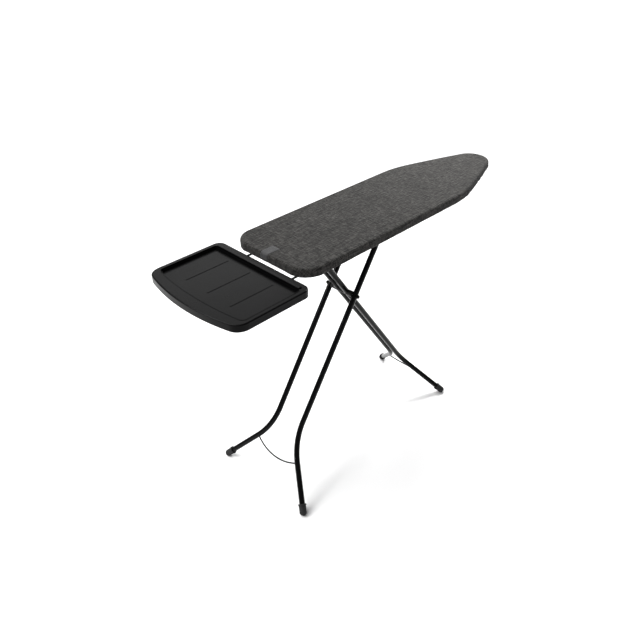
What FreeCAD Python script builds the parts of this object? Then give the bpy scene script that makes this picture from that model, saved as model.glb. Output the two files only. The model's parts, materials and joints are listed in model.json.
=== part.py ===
"""Four-leg ironing board with a steam-unit holder at its square end.

Millimetres.  While it is being built, X runs from the board's square end (0) to its nose, Y across the
board and Z up from the floor.  Each sub-part is moved to the final origin, the centre of the bounding
box's foot, as it is written.
"""

import FreeCAD, Part
import math
import os

V = FreeCAD.Vector

# ---- driving dimensions -------------------------------------------------------------------------
# board
BOARD_LENGTH = 1240.0
BOARD_WIDTH = 375.0
TOP_HEIGHT = 1001.5
END_CORNER_RADIUS = 76.0
NOSE_RADIUS = 78.0
TAPER_LENGTH = 455.0
SHOULDER_RADIUS = 460.0
SHOULDER_EASE = math.radians(1.8)
COVER_THICKNESS = 1.5
COVER_EDGE_RADIUS = 9.0
PAD_THICKNESS = 12.0
DECK_THICKNESS = 0.8
RIM_HEIGHT = 14.0
RIM_WIDTH = 10.0
RIM_WALL = 1.2
COVER_RETURN = 30.0
HEM_THICKNESS = 1.5
HEM_WIDTH = 12.0
RIB_WIDTH = 26.0
RIB_WALL = 1.2
RIB_BEFORE_HINGE = 28.0
RIB_PAST_SLIDER = 15.0
RIB_BEFORE_RAIL_END = 16.0
NOSE_RIB_FROM_TIP = 200.0
DECK_HOLE_RADIUS = 9.0
DECK_HOLE_PITCH = 60.0
# leg frames
TUBE_RADIUS = 11.0
TUBE_WALL = 1.3
HINGE_X = 193.0
BAR_BELOW_RIM = 29.2
SLIDER_SPAN = 322.0
PIVOT_DROP = 239.0
OUTER_HALF_SPACING = 65.0
OUTER_FOOT_HALF_SPACING = 227.0
OUTER_BEND_FROM_FOOT = 213.0
OUTER_BEND_RADIUS = 250.0
INNER_HALF_SPACING = 24.0
INNER_FOOT_HALF_SPACING = 184.0
INNER_BEND_FROM_FOOT = 210.0
INNER_BEND_RADIUS = 170.0
TUBE_TOP_OVERHANG = 9.0
FOLDED_ANGLE = math.radians(3.0)
# feet
FOOT_WALL = 3.0
FOOT_FLAT = 0.8
FOOT_LENGTH = 44.0
FOOT_COLLAR_STEP = 1.6
FOOT_COLLAR_LENGTH = 6.0
FOOT_TUBE_STOP = 12.0
# braces
BRACE_RADIUS = 3.0
BRACE_BOW_RADIUS = 220.0
BRACE_HALF_TURN = 45.0
OUTER_BRACE_FROM_FOOT = 113.0
INNER_BRACE_FROM_FOOT = 117.0
# pivots and rails
SLIDE_BAR_RADIUS = 8.0
SLIDE_BAR_WALL = 1.5
ROLLER_RADIUS = 11.0
ROLLER_LENGTH = 9.0
RAIL_CLEAR = 8.0
RAIL_WALL = 2.0
RAIL_FLANGE = 14.0
RAIL_DEPTH = 45.0
RAIL_PAST_HINGE = 45.0
RAIL_PAST_SLIDER = 37.0
HINGE_PIN_RADIUS = 5.0
AXLE_RADIUS = 4.0
SPACER_LIP = 1.0
NUT_RADIUS = 6.5
NUT_LENGTH = 8.0
NUT_ROUNDING = 2.9
WASHER_OVERHANG = 2.5
PIN_HEAD_RADIUS = 8.0
PIN_HEAD_LENGTH = 2.5
HINGE_SPACER_WALL = 4.0
TOP_TUBE_OVERHANG = 1.0
RIVET_HEAD_RADIUS = 4.0
RIVET_HEAD_HEIGHT = 1.6
WASHER_THICKNESS = 1.5
# height lever
LEVER_PIN_FROM_SLIDER = 220.0
LEVER_PIN_BELOW_RIM = 11.2
LEVER_PIN_RADIUS = 2.5
LEVER_PLATE = 3.0
LEVER_HALF_WIDTH = 16.0
LEVER_TOOTH_PITCH = 24.0
LEVER_TEETH = 7
LEVER_ROD_FROM_SLIDER = 27.0
LEVER_ROD_RADIUS = 3.0
LEVER_GRIP_RADIUS = 6.0
LEVER_GRIP_LENGTH = 62.0
LEVER_GRIP_INSET = 37.5
LEVER_GRIP_ROUNDING = 1.5
LEVER_GRIP_CAP = 2.0
LEVER_EYE_WALL = 3.0
WINDOW_SIDE_GAP = 3.0
WINDOW_LOWER_GAP = 2.0
SPRING_WIRE_RADIUS = 0.8
SPRING_GAP = 0.4
SPRING_TURNS = 5
SPRING_PITCH = 2.4
SPRING_FROM_PLATE = 4.0
# holder for a steam unit
TRAY_GAP = 16.0
TRAY_DEPTH = 319.0
TRAY_HALF_WIDTH = 229.0
TRAY_TAPER = 0.5
TRAY_BELOW_TOP = 24.5
TRAY_HEIGHT = 26.0
TRAY_REAR_RADIUS = 29.0
TRAY_FRONT_RADIUS = 46.0
TRAY_BOW_RADIUS = 800.0
TRAY_WALL = 3.0
TRAY_RECESS = 10.0
TRAY_SIDE_RIM = 17.0
TRAY_REAR_RIM = 32.0
TRAY_FRONT_RIM = 43.0
TRAY_EDGE_RADIUS = 4.0
TRAY_INSIDE_RADIUS = 2.0
RECESS_REAR_RADIUS = 10.0
RECESS_FRONT_RADIUS = 18.0
RECESS_BOW_RADIUS = 1250.0
RECESS_LEDGE_WIDTH = 4.0
RECESS_LEDGE_HEIGHT = 5.0
TRAY_RIB_LENGTH = 168.0
TRAY_RIB_WIDTH = 4.0
TRAY_RIB_HEIGHT = 1.2
TRAY_RIB_PITCH = 112.0
TRAY_RIB_OFFSET = 12.0
TRAY_RAIL_WIDTH = 13.0
TRAY_RAIL_HEIGHT = 4.0
TRAY_RAIL_END_GAP = 9.0
TRAY_RAIL_ROUNDING = 1.5
TRAY_LIP = 1.6
TRAY_LIP_HEIGHT = 1.0
WIRE_RADIUS = 4.0
WIRE_BELOW_RIM = 21.2
WIRE_HALF_SPACING = 112.0
WIRE_SPARE = 4.0
WIRE_FRONT_REACH = 277.0
WIRE_BEND_RADIUS = 24.0
GUIDE_LENGTH = 20.0
GUIDE_HALF_WIDTH = 9.0
GUIDE_FLOOR = 3.0
GUIDE_STRAP_THICKNESS = 3.0
COLLAR_RADIUS = 7.0
COLLAR_LENGTH = 8.0
HOLDER_CLEAR = 3.0
HOLDER_PULL_OUT = 54.0
CLIP_LENGTH = 24.0
CLIP_HALF_WIDTH = 10.0
CLIP_SHARES = (0.22, 0.80)
CLIP_LIP = 1.5
SCREW_RADIUS = 1.8
SCREW_HEAD_RADIUS = 2.4
SCREW_GAP = 0.9
SCREW_HEAD_HEIGHT = 2.0
# clearances
RUNNING = 0.06
SIDE_GAP = 0.3
ROLLER_GAP = 0.3
STOP_GAP = 2.0
TOOTH_GAP = 0.8
HOLE_CLEAR = 1.0
CUT = 1.0
TOUCH = 0.01
# label
LABEL_LENGTH = 54.0
LABEL_WIDTH = 36.0
LABEL_PLACE_Y = 14.0
LABEL_THICKNESS = 0.5

# ---- sizes that follow --------------------------------------------------------------------------
HALF_WIDTH = BOARD_WIDTH / 2
COVER_TOP = TOP_HEIGHT
PAD_TOP = COVER_TOP - COVER_THICKNESS
DECK_TOP = PAD_TOP - PAD_THICKNESS
RIM_TOP = DECK_TOP - DECK_THICKNESS
RIM_BOTTOM = RIM_TOP - RIM_HEIGHT
RETURN_TOP = RIM_BOTTOM - HEM_THICKNESS
COVER_BOTTOM = RETURN_TOP - COVER_THICKNESS
RIM_INSET = COVER_THICKNESS + SIDE_GAP
RIM_INNER = RIM_INSET + RIM_WIDTH
SHOULDER_START = BOARD_LENGTH - TAPER_LENGTH
BAR_HEIGHT = RIM_BOTTOM - BAR_BELOW_RIM
LEG_ANGLE = math.atan2(PIVOT_DROP, SLIDER_SPAN / 2)
ARM_LENGTH = math.hypot(PIVOT_DROP, SLIDER_SPAN / 2)
SLIDER_X = HINGE_X + SLIDER_SPAN
SLIDER_FOLDED_X = HINGE_X + 2 * ARM_LENGTH * math.cos(FOLDED_ANGLE)
PIVOT_X = HINGE_X + SLIDER_SPAN / 2
PIVOT_HEIGHT = BAR_HEIGHT - PIVOT_DROP
SPACER_RADIUS = TUBE_RADIUS + SPACER_LIP
FOOT_RADIUS = TUBE_RADIUS + FOOT_WALL
FOOT_COLLAR_RADIUS = FOOT_RADIUS + FOOT_COLLAR_STEP
FOOT_CENTRE_HEIGHT = FOOT_RADIUS - FOOT_FLAT
LEG_LENGTH = (BAR_HEIGHT - FOOT_CENTRE_HEIGHT) / math.sin(LEG_ANGLE)
RAIL_PLACE = INNER_HALF_SPACING + TUBE_RADIUS + TOP_TUBE_OVERHANG + RAIL_CLEAR
RAIL_START = HINGE_X - RAIL_PAST_HINGE
RAIL_END = SLIDER_FOLDED_X + RAIL_PAST_SLIDER
RIB_STATIONS = (HINGE_X - RIB_BEFORE_HINGE, SLIDER_X + RIB_PAST_SLIDER, RAIL_END - RIB_BEFORE_RAIL_END,
                BOARD_LENGTH - NOSE_RIB_FROM_TIP)
LEVER_PIN_X = SLIDER_X + LEVER_PIN_FROM_SLIDER
LEVER_PIN_HEIGHT = RIM_BOTTOM - LEVER_PIN_BELOW_RIM
LEVER_ROD_X = SLIDER_X - LEVER_ROD_FROM_SLIDER
LEVER_GRIP_END = HALF_WIDTH - LEVER_GRIP_INSET
WIRE_HEIGHT = RIM_BOTTOM - WIRE_BELOW_RIM
TRAY_TOP = TOP_HEIGHT - TRAY_BELOW_TOP
TRAY_REAR_X = -TRAY_GAP
TRAY_FRONT_X = TRAY_REAR_X - TRAY_DEPTH
TRAY_BOTTOM = TRAY_TOP - TRAY_HEIGHT
TRAY_FLOOR = TRAY_TOP - TRAY_RECESS
RECESS_REAR_X = TRAY_REAR_X - TRAY_REAR_RIM
RECESS_FRONT_X = TRAY_FRONT_X + TRAY_FRONT_RIM
RECESS_HALF_WIDTH = TRAY_HALF_WIDTH - TRAY_SIDE_RIM
HOLDER_PUSH_IN = TRAY_GAP - HOLDER_CLEAR
REAR_GUIDE_START = RIB_STATIONS[0] - GUIDE_LENGTH / 2
COLLAR_START = REAR_GUIDE_START - STOP_GAP - HOLDER_PUSH_IN - COLLAR_LENGTH
FRONT_GUIDE_START = COLLAR_START - HOLDER_PULL_OUT - STOP_GAP - GUIDE_LENGTH
WIRE_INNER_END = REAR_GUIDE_START + GUIDE_LENGTH + HOLDER_PULL_OUT + WIRE_SPARE
SCREW_LOW = WIRE_HEIGHT - CLIP_LIP
ORIGIN = V((BOARD_LENGTH + TRAY_FRONT_X) / 2, 0, 0)

LATERAL = V(0, 1, 0)
UP = V(0, 0, 1)


# ---- helpers ------------------------------------------------------------------------------------
def save(name, shape):
    """Write one sub-part in the final frame."""
    shape = shape.copy()
    shape.translate(-ORIGIN)
    shape.exportStep("parts/" + name + ".step")
    print(name, len(shape.Solids), round(shape.Volume), shape.isValid())


def point_on(centre, radius, angle):
    return V(centre.x + radius * math.cos(angle), centre.y + radius * math.sin(angle), 0)


def arc_edge(centre, radius, start, end):
    middle = (start + end) / 2
    return Part.Arc(point_on(centre, radius, start), point_on(centre, radius, middle),
                    point_on(centre, radius, end)).toShape()


def mirror_y(shape):
    return shape.mirror(V(0, 0, 0), LATERAL)


def closed_outline(half_edges, rear_line, front_edge):
    """Join one side's edges, their mirror images and the two edges that cross the centre line."""
    edges = [rear_line, front_edge]
    for edge in half_edges:
        edges.append(edge)
        edges.append(mirror_y(edge))
    return Part.Wire(Part.__sortEdges__(edges))


def prism(wire, low, high):
    face = Part.Face(wire)
    face.translate(V(0, 0, low))
    return face.extrude(V(0, 0, high - low))


def box(x0, x1, y0, y1, z0, z1):
    return Part.makeBox(x1 - x0, y1 - y0, z1 - z0, V(x0, y0, z0))


def cross_rod(radius, y0, y1, x, z, bore=0.0):
    """Round bar or sleeve that lies along Y."""
    rod = Part.makeCylinder(radius, y1 - y0, V(x, y0, z), LATERAL)
    if bore:
        rod = rod.cut(Part.makeCylinder(bore, y1 - y0, V(x, y0, z), LATERAL))
    return rod


def both_sides(shape):
    return Part.makeCompound([shape, mirror_y(shape)])


def group(shapes):
    return Part.makeCompound(shapes)


# ---- board outline ------------------------------------------------------------------------------
def shoulder_turn():
    """Angle of the shoulder arc: a little less than a straight taper to the nose would need."""
    along = BOARD_LENGTH - NOSE_RADIUS - SHOULDER_START
    across = SHOULDER_RADIUS - HALF_WIDTH
    reach = math.hypot(along, across)
    straight = math.asin((SHOULDER_RADIUS - NOSE_RADIUS) / reach) - math.atan2(across, along)
    return straight - SHOULDER_EASE


def board_outline(inset):
    """Square end with round corners, straight sides, shoulder arc, long taper arc and round nose."""
    corner = V(END_CORNER_RADIUS, HALF_WIDTH - END_CORNER_RADIUS, 0)
    shoulder = V(SHOULDER_START, HALF_WIDTH - SHOULDER_RADIUS, 0)
    nose = V(BOARD_LENGTH - NOSE_RADIUS, 0, 0)
    up_angle = math.pi / 2 - shoulder_turn()
    normal = V(math.cos(up_angle), math.sin(up_angle), 0)
    joint = shoulder + normal * SHOULDER_RADIUS
    reach = joint - nose
    taper_radius = (reach.dot(reach) - NOSE_RADIUS ** 2) / (2 * (reach.dot(normal) - NOSE_RADIUS))
    taper = joint - normal * taper_radius
    nose_angle = math.atan2(nose.y - taper.y, nose.x - taper.x)
    side = Part.LineSegment(V(corner.x, HALF_WIDTH - inset, 0), V(shoulder.x, HALF_WIDTH - inset, 0))
    half = [
        arc_edge(corner, END_CORNER_RADIUS - inset, math.pi, math.pi / 2),
        side.toShape(),
        arc_edge(shoulder, SHOULDER_RADIUS - inset, math.pi / 2, up_angle),
        arc_edge(taper, taper_radius - inset, up_angle, nose_angle),
    ]
    end = Part.LineSegment(V(inset, -corner.y, 0), V(inset, corner.y, 0)).toShape()
    tip = arc_edge(nose, NOSE_RADIUS - inset, nose_angle, -nose_angle)
    return closed_outline(half, end, tip)


def outline_ring(outer_inset, inner_inset, low, high):
    return prism(board_outline(outer_inset), low, high).cut(prism(board_outline(inner_inset), low, high))


def fillet_top(solid, height, radius):
    """Round every edge that lies flat at this height."""
    edges = [e for e in solid.Edges if lies_at(e, height)]
    return solid.makeFillet(radius, edges)


def lies_at(edge, height):
    bounds = edge.BoundBox
    return abs(bounds.ZMin - height) < TOUCH and abs(bounds.ZMax - height) < TOUCH


def build_cover():
    outer = fillet_top(prism(board_outline(0), COVER_BOTTOM, COVER_TOP), COVER_TOP, COVER_EDGE_RADIUS)
    inner = prism(board_outline(COVER_THICKNESS), RETURN_TOP, PAD_TOP)
    inner = fillet_top(inner, PAD_TOP, COVER_EDGE_RADIUS - COVER_THICKNESS)
    mouth = prism(board_outline(COVER_RETURN), COVER_BOTTOM - CUT, RETURN_TOP + CUT)
    return outer.cut([inner, mouth, build_label()])


def build_hem():
    inner = COVER_RETURN
    return outline_ring(inner - HEM_WIDTH, inner, RETURN_TOP, RETURN_TOP + HEM_THICKNESS)


def build_pad():
    pad = prism(board_outline(COVER_THICKNESS + SIDE_GAP), DECK_TOP, PAD_TOP)
    return fillet_top(pad, PAD_TOP, COVER_EDGE_RADIUS - COVER_THICKNESS)


def build_label():
    """Woven patch let flush into the cover beside the square end."""
    y0 = LABEL_PLACE_Y - LABEL_WIDTH / 2
    return box(COVER_EDGE_RADIUS, LABEL_LENGTH, y0, y0 + LABEL_WIDTH, COVER_TOP - LABEL_THICKNESS, COVER_TOP)


def build_deck():
    """Steam-vented sheet with a grid of round holes."""
    deck = prism(board_outline(RIM_INSET), RIM_TOP, DECK_TOP)
    inner = prism(board_outline(RIM_INNER + DECK_HOLE_RADIUS * 2), RIM_TOP - CUT, DECK_TOP + CUT)
    clear = RIB_WIDTH / 2 + DECK_HOLE_RADIUS + HOLE_CLEAR
    columns = int(BOARD_LENGTH / DECK_HOLE_PITCH)
    rows = int(HALF_WIDTH / DECK_HOLE_PITCH)
    holes = []
    for column in range(1, columns):
        for row in range(-rows, rows + 1):
            centre = V(column * DECK_HOLE_PITCH, row * DECK_HOLE_PITCH, RIM_TOP)
            near_rib = any(abs(centre.x - station) < clear for station in RIB_STATIONS)
            if not near_rib and inner.isInside(centre + UP, 0.1, True):
                holes.append(Part.makeCylinder(DECK_HOLE_RADIUS, DECK_THICKNESS + 2, centre - UP))
    return deck.cut(holes)


def build_rim():
    """Perimeter channel, open underneath."""
    outer = outline_ring(RIM_INSET, RIM_INNER, RIM_BOTTOM, RIM_TOP)
    hollow = outline_ring(RIM_INSET + RIM_WALL, RIM_INNER - RIM_WALL, RIM_BOTTOM - CUT, RIM_TOP - RIM_WALL)
    return outer.cut(hollow)


def build_rib(station):
    """Hat channel across the board between the rim's inner walls."""
    x0 = station - RIB_WIDTH / 2
    x1 = station + RIB_WIDTH / 2
    bar = box(x0, x1, -HALF_WIDTH, HALF_WIDTH, RIM_BOTTOM, RIM_TOP)
    hollow = box(x0 + RIB_WALL, x1 - RIB_WALL, -HALF_WIDTH, HALF_WIDTH, RIM_BOTTOM + RIB_WALL, RIM_TOP)
    return bar.cut(hollow).common(prism(board_outline(RIM_INNER), RIM_BOTTOM, RIM_TOP))


# ---- rails, hinge and slide ---------------------------------------------------------------------
def folded_pivot():
    """Place of the scissor pivot when the legs are folded."""
    return (HINGE_X + ARM_LENGTH * math.cos(FOLDED_ANGLE), BAR_HEIGHT - ARM_LENGTH * math.sin(FOLDED_ANGLE))


def build_rail(side):
    """Angle rail under the ribs, cut for the hinge pin, the rollers, the folded pivot and the lever rod."""
    low = RIM_BOTTOM - RAIL_DEPTH
    top = RIM_BOTTOM
    web = box(RAIL_START, RAIL_END, RAIL_PLACE, RAIL_PLACE + RAIL_WALL, low, top)
    flange = box(RAIL_START, RAIL_END, RAIL_PLACE - RAIL_FLANGE, RAIL_PLACE, top - RAIL_WALL, top)
    rail = web.fuse(flange).removeSplitter()
    inside = RAIL_PLACE - CUT
    reach = RAIL_PLACE + RAIL_WALL + CUT
    rail = rail.cut(cross_rod(HINGE_PIN_RADIUS, 0, reach, HINGE_X, BAR_HEIGHT))
    half_slot = ROLLER_RADIUS + ROLLER_GAP
    slot = box(SLIDER_X, SLIDER_FOLDED_X, inside, reach, BAR_HEIGHT - half_slot, BAR_HEIGHT + half_slot)
    for x in (SLIDER_X, SLIDER_FOLDED_X):
        slot = slot.fuse(cross_rod(half_slot, inside, reach, x, BAR_HEIGHT))
    rail = rail.cut(slot)
    rail = rail.cut(cross_rod(SPACER_RADIUS + STOP_GAP, inside, reach, *folded_pivot()))
    if side < 0:
        rail = mirror_y(rail.cut(lever_window(reach)))
    return rail


def lever_window(reach):
    """Opening in the near rail that the lever's rod passes through and swings in."""
    half = LEVER_ROD_RADIUS + WINDOW_SIDE_GAP
    low = LEVER_PIN_HEIGHT - LEVER_ROD_RADIUS - WINDOW_LOWER_GAP
    inside = RAIL_PLACE - RAIL_FLANGE - CUT
    return box(LEVER_ROD_X - half, LEVER_ROD_X + half, inside, reach, low, RIM_BOTTOM + CUT)


def build_rail_rivets():
    """Rivet heads under the rail flanges, one below each rib that the rails cross."""
    rivets = []
    place = RAIL_PLACE - RAIL_FLANGE / 2
    low = RIM_BOTTOM - RAIL_WALL - RIVET_HEAD_HEIGHT
    crossed = [station for station in RIB_STATIONS if RAIL_START < station < RAIL_END]
    for station in crossed:
        for side in (-1, 1):
            start = V(station, side * place, low)
            rivets.append(Part.makeCylinder(RIVET_HEAD_RADIUS, RIVET_HEAD_HEIGHT, start))
    return group(rivets)


def build_hinge_pin():
    half = RAIL_PLACE + RAIL_WALL
    pin = cross_rod(HINGE_PIN_RADIUS, -half, half, HINGE_X, BAR_HEIGHT)
    for y0 in (-half - PIN_HEAD_LENGTH, half):
        pin = pin.fuse(cross_rod(PIN_HEAD_RADIUS, y0, y0 + PIN_HEAD_LENGTH, HINGE_X, BAR_HEIGHT))
    return pin


def build_hinge_spacer():
    low = INNER_HALF_SPACING + TUBE_RADIUS + TOP_TUBE_OVERHANG + SIDE_GAP
    radius = HINGE_PIN_RADIUS + HINGE_SPACER_WALL
    return cross_rod(radius, low, RAIL_PLACE, HINGE_X, BAR_HEIGHT, HINGE_PIN_RADIUS)


# ---- leg frames ---------------------------------------------------------------------------------
class LegFrame:
    """One flat frame: `down` runs from the top bar to the feet in the frame's own plane."""

    def __init__(self, top_x, towards, half_spacing, foot_half_spacing, bend_from_foot, bend_radius):
        self.top = V(top_x, 0, BAR_HEIGHT)
        self.down = V(towards * math.cos(LEG_ANGLE), 0, -math.sin(LEG_ANGLE))
        self.half_spacing = half_spacing
        self.foot_half_spacing = foot_half_spacing
        self.bend_from_foot = bend_from_foot
        self.bend_radius = bend_radius
        self.splay = math.atan2(foot_half_spacing - half_spacing, bend_from_foot)

    def at(self, along, across):
        """Point in the frame's plane, by distance from the top bar and from the centre line."""
        return self.top + self.down * along + LATERAL * across

    def splay_direction(self):
        return self.down * math.cos(self.splay) + LATERAL * math.sin(self.splay)

    def foot(self):
        return self.at(LEG_LENGTH, self.foot_half_spacing)

    def tube(self, radius, start, end_trim):
        """Far-side leg as a solid bar: straight run, bend and splayed run."""
        tangent = self.bend_radius * math.tan(self.splay / 2)
        vertex = self.at(LEG_LENGTH - self.bend_from_foot, self.half_spacing)
        bend_start = vertex - self.down * tangent
        bend_end = vertex + self.splay_direction() * tangent
        first = self.at(start, self.half_spacing)
        straight = Part.makeCylinder(radius, (bend_start - first).Length, first, self.down)
        disc = Part.Face(Part.Wire(Part.makeCircle(radius, bend_start, self.down)))
        centre = bend_start + LATERAL * self.bend_radius
        bend = disc.revolve(centre, self.down.cross(LATERAL), math.degrees(self.splay))
        run = (self.foot() - bend_end).Length - end_trim
        splayed = Part.makeCylinder(radius, run, bend_end, self.splay_direction())
        return straight.fuse([bend, splayed]).removeSplitter()

    def hollow_tube(self, start, cutters):
        outer = self.tube(TUBE_RADIUS, start, FOOT_TUBE_STOP)
        bore = self.tube(TUBE_RADIUS - TUBE_WALL, start - 1, FOOT_TUBE_STOP - 1)
        return outer.cut([bore] + cutters)

    def foot_cap(self):
        """Rubber boot with a collar, round end and a small worn flat."""
        centre = self.foot()
        axis = self.splay_direction()
        body = Part.makeCylinder(FOOT_RADIUS, FOOT_LENGTH - FOOT_RADIUS, centre, -axis)
        ball = Part.makeSphere(FOOT_RADIUS, centre)
        collar_base = centre - axis * (FOOT_LENGTH - FOOT_RADIUS - FOOT_COLLAR_LENGTH)
        collar = Part.makeCylinder(FOOT_COLLAR_RADIUS, FOOT_COLLAR_LENGTH, collar_base, -axis)
        socket = Part.makeCylinder(TUBE_RADIUS, FOOT_LENGTH, centre - axis * FOOT_TUBE_STOP, -axis)
        span = FOOT_LENGTH
        below = box(centre.x - span, centre.x + span, centre.y - span, centre.y + span, -span, 0)
        return body.fuse([ball, collar]).cut([socket, below])

    def brace(self, from_foot):
        """Bowed wire between the two splayed runs, lying in the frame's plane."""
        middle = self.at(LEG_LENGTH - from_foot, 0)
        centre = middle - self.down * BRACE_BOW_RADIUS
        disc = Part.Face(Part.Wire(Part.makeCircle(BRACE_RADIUS, middle, LATERAL)))
        axis = self.down.cross(LATERAL)
        halves = []
        for turn in (BRACE_HALF_TURN, -BRACE_HALF_TURN):
            halves.append(disc.revolve(centre, axis, turn))
        wire = halves[0].fuse(halves[1]).removeSplitter()
        leg = self.tube(TUBE_RADIUS, 0, FOOT_TUBE_STOP)
        pieces = wire.cut([leg, mirror_y(leg)]).Solids
        return min(pieces, key=lambda piece: piece.CenterOfMass.sub(middle).Length)


OUTER = LegFrame(SLIDER_X, -1, OUTER_HALF_SPACING, OUTER_FOOT_HALF_SPACING, OUTER_BEND_FROM_FOOT,
                 OUTER_BEND_RADIUS)
INNER = LegFrame(HINGE_X, 1, INNER_HALF_SPACING, INNER_FOOT_HALF_SPACING, INNER_BEND_FROM_FOOT,
                 INNER_BEND_RADIUS)
OUTER_REACH = OUTER_HALF_SPACING + 2 * TUBE_RADIUS
INNER_REACH = INNER_HALF_SPACING + 2 * TUBE_RADIUS
AXLE_REACH = OUTER_HALF_SPACING + TUBE_RADIUS + SIDE_GAP + WASHER_THICKNESS


def build_outer_leg():
    bar_hole = cross_rod(SLIDE_BAR_RADIUS, 0, OUTER_REACH, SLIDER_X, BAR_HEIGHT)
    axle_hole = cross_rod(AXLE_RADIUS + RUNNING, 0, OUTER_REACH, PIVOT_X, PIVOT_HEIGHT)
    return OUTER.hollow_tube(-TUBE_TOP_OVERHANG, [bar_hole, axle_hole])


def build_slide_bar():
    half = OUTER_HALF_SPACING + TUBE_RADIUS
    return cross_rod(SLIDE_BAR_RADIUS, -half, half, SLIDER_X, BAR_HEIGHT, SLIDE_BAR_RADIUS - SLIDE_BAR_WALL)


def build_outer_plug():
    """Flat plug in the open top of one outer tube, clear of the slide bar."""
    start = OUTER.at(-TUBE_TOP_OVERHANG, OUTER_HALF_SPACING)
    plug = Part.makeCylinder(TUBE_RADIUS - TUBE_WALL, TUBE_TOP_OVERHANG, start, OUTER.down)
    return plug.cut(cross_rod(SLIDE_BAR_RADIUS, 0, OUTER_REACH, SLIDER_X, BAR_HEIGHT))


def build_inner_leg():
    top_tube = cross_rod(TUBE_RADIUS, 0, INNER_REACH, HINGE_X, BAR_HEIGHT)
    axle_hole = cross_rod(AXLE_RADIUS, 0, INNER_REACH, PIVOT_X, PIVOT_HEIGHT)
    return INNER.hollow_tube(CUT, [top_tube, axle_hole])


def build_inner_top_tube():
    half = INNER_HALF_SPACING + TUBE_RADIUS + TOP_TUBE_OVERHANG
    return cross_rod(TUBE_RADIUS, -half, half, HINGE_X, BAR_HEIGHT, HINGE_PIN_RADIUS + RUNNING)


def build_roller():
    y0 = RAIL_PLACE + RAIL_WALL / 2 - ROLLER_LENGTH / 2
    return cross_rod(ROLLER_RADIUS, y0, y0 + ROLLER_LENGTH, SLIDER_X, BAR_HEIGHT, SLIDE_BAR_RADIUS)


def build_side_spacer():
    low = INNER_HALF_SPACING
    high = OUTER_HALF_SPACING - TUBE_RADIUS - SIDE_GAP
    sleeve = cross_rod(SPACER_RADIUS, low, high, PIVOT_X, PIVOT_HEIGHT, AXLE_RADIUS)
    return sleeve.cut(INNER.tube(TUBE_RADIUS, 0, 0))


def build_middle_spacer():
    half = INNER_HALF_SPACING
    sleeve = cross_rod(SPACER_RADIUS, -half, half, PIVOT_X, PIVOT_HEIGHT, AXLE_RADIUS)
    leg = INNER.tube(TUBE_RADIUS, 0, 0)
    return sleeve.cut([leg, mirror_y(leg)])


def build_cap_nut():
    nut = cross_rod(NUT_RADIUS, AXLE_REACH, AXLE_REACH + NUT_LENGTH, PIVOT_X, PIVOT_HEIGHT)
    rim = [e for e in nut.Edges if e.BoundBox.YMin > AXLE_REACH + NUT_LENGTH - TOUCH]
    return nut.makeFillet(NUT_ROUNDING, rim)


def build_washer():
    radius = NUT_RADIUS + WASHER_OVERHANG
    y0 = AXLE_REACH - WASHER_THICKNESS
    return cross_rod(radius, y0, AXLE_REACH, PIVOT_X, PIVOT_HEIGHT, AXLE_RADIUS)


# ---- height lever -------------------------------------------------------------------------------
def build_lever_plate():
    """Notched catch plate over the slide bar's path, swung on a pin between the rails."""
    half_plate = LEVER_PLATE / 2
    half = LEVER_HALF_WIDTH
    middle = LEVER_PIN_HEIGHT
    plate = box(LEVER_ROD_X, LEVER_PIN_X, -half, half, middle - half_plate, middle + half_plate)
    plate = plate.fuse(cross_rod(LEVER_PIN_RADIUS + LEVER_EYE_WALL, -half, half, LEVER_PIN_X, middle))
    tooth_low = BAR_HEIGHT + SLIDE_BAR_RADIUS + TOOTH_GAP
    for number in range(LEVER_TEETH):
        x0 = SLIDER_X + SLIDE_BAR_RADIUS + number * LEVER_TOOTH_PITCH
        plate = plate.fuse(box(x0, x0 + LEVER_TOOTH_PITCH / 3, -half, half, tooth_low, middle))
    plate = plate.cut(cross_rod(LEVER_PIN_RADIUS + RUNNING, -RAIL_PLACE, RAIL_PLACE, LEVER_PIN_X, middle))
    plate = plate.cut(cross_rod(LEVER_ROD_RADIUS, -RAIL_PLACE, RAIL_PLACE, LEVER_ROD_X, middle))
    return plate.removeSplitter()


def build_lever_rod():
    start = LEVER_GRIP_CAP - LEVER_GRIP_END
    return cross_rod(LEVER_ROD_RADIUS, start, LEVER_HALF_WIDTH, LEVER_ROD_X, LEVER_PIN_HEIGHT)


def build_lever_grip():
    y0 = -LEVER_GRIP_END
    y1 = y0 + LEVER_GRIP_LENGTH
    grip = cross_rod(LEVER_GRIP_RADIUS, y0, y1, LEVER_ROD_X, LEVER_PIN_HEIGHT)
    rims = [e for e in grip.Edges if e.Curve.TypeId == "Part::GeomCircle"]
    grip = grip.makeFillet(LEVER_GRIP_ROUNDING, rims)
    return grip.cut(cross_rod(LEVER_ROD_RADIUS, y0 + LEVER_GRIP_CAP, y1 + CUT, LEVER_ROD_X, LEVER_PIN_HEIGHT))


def build_lever_pin():
    return cross_rod(LEVER_PIN_RADIUS, -RAIL_PLACE, RAIL_PLACE, LEVER_PIN_X, LEVER_PIN_HEIGHT)


def build_lever_spring():
    """Torsion spring on the lever pin, beside the plate."""
    coil = LEVER_PIN_RADIUS + SPRING_WIRE_RADIUS + SPRING_GAP
    helix = Part.makeHelix(SPRING_PITCH, SPRING_PITCH * SPRING_TURNS, coil)
    start_direction = V(0, coil, SPRING_PITCH / (2 * math.pi))
    disc = Part.Wire(Part.makeCircle(SPRING_WIRE_RADIUS, V(coil, 0, 0), start_direction))
    spring = Part.Wire(helix).makePipeShell([disc], True, True)
    spring.rotate(V(0, 0, 0), V(1, 0, 0), -90)
    spring.translate(V(LEVER_PIN_X, LEVER_HALF_WIDTH + SPRING_FROM_PLATE, LEVER_PIN_HEIGHT))
    return spring


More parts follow.
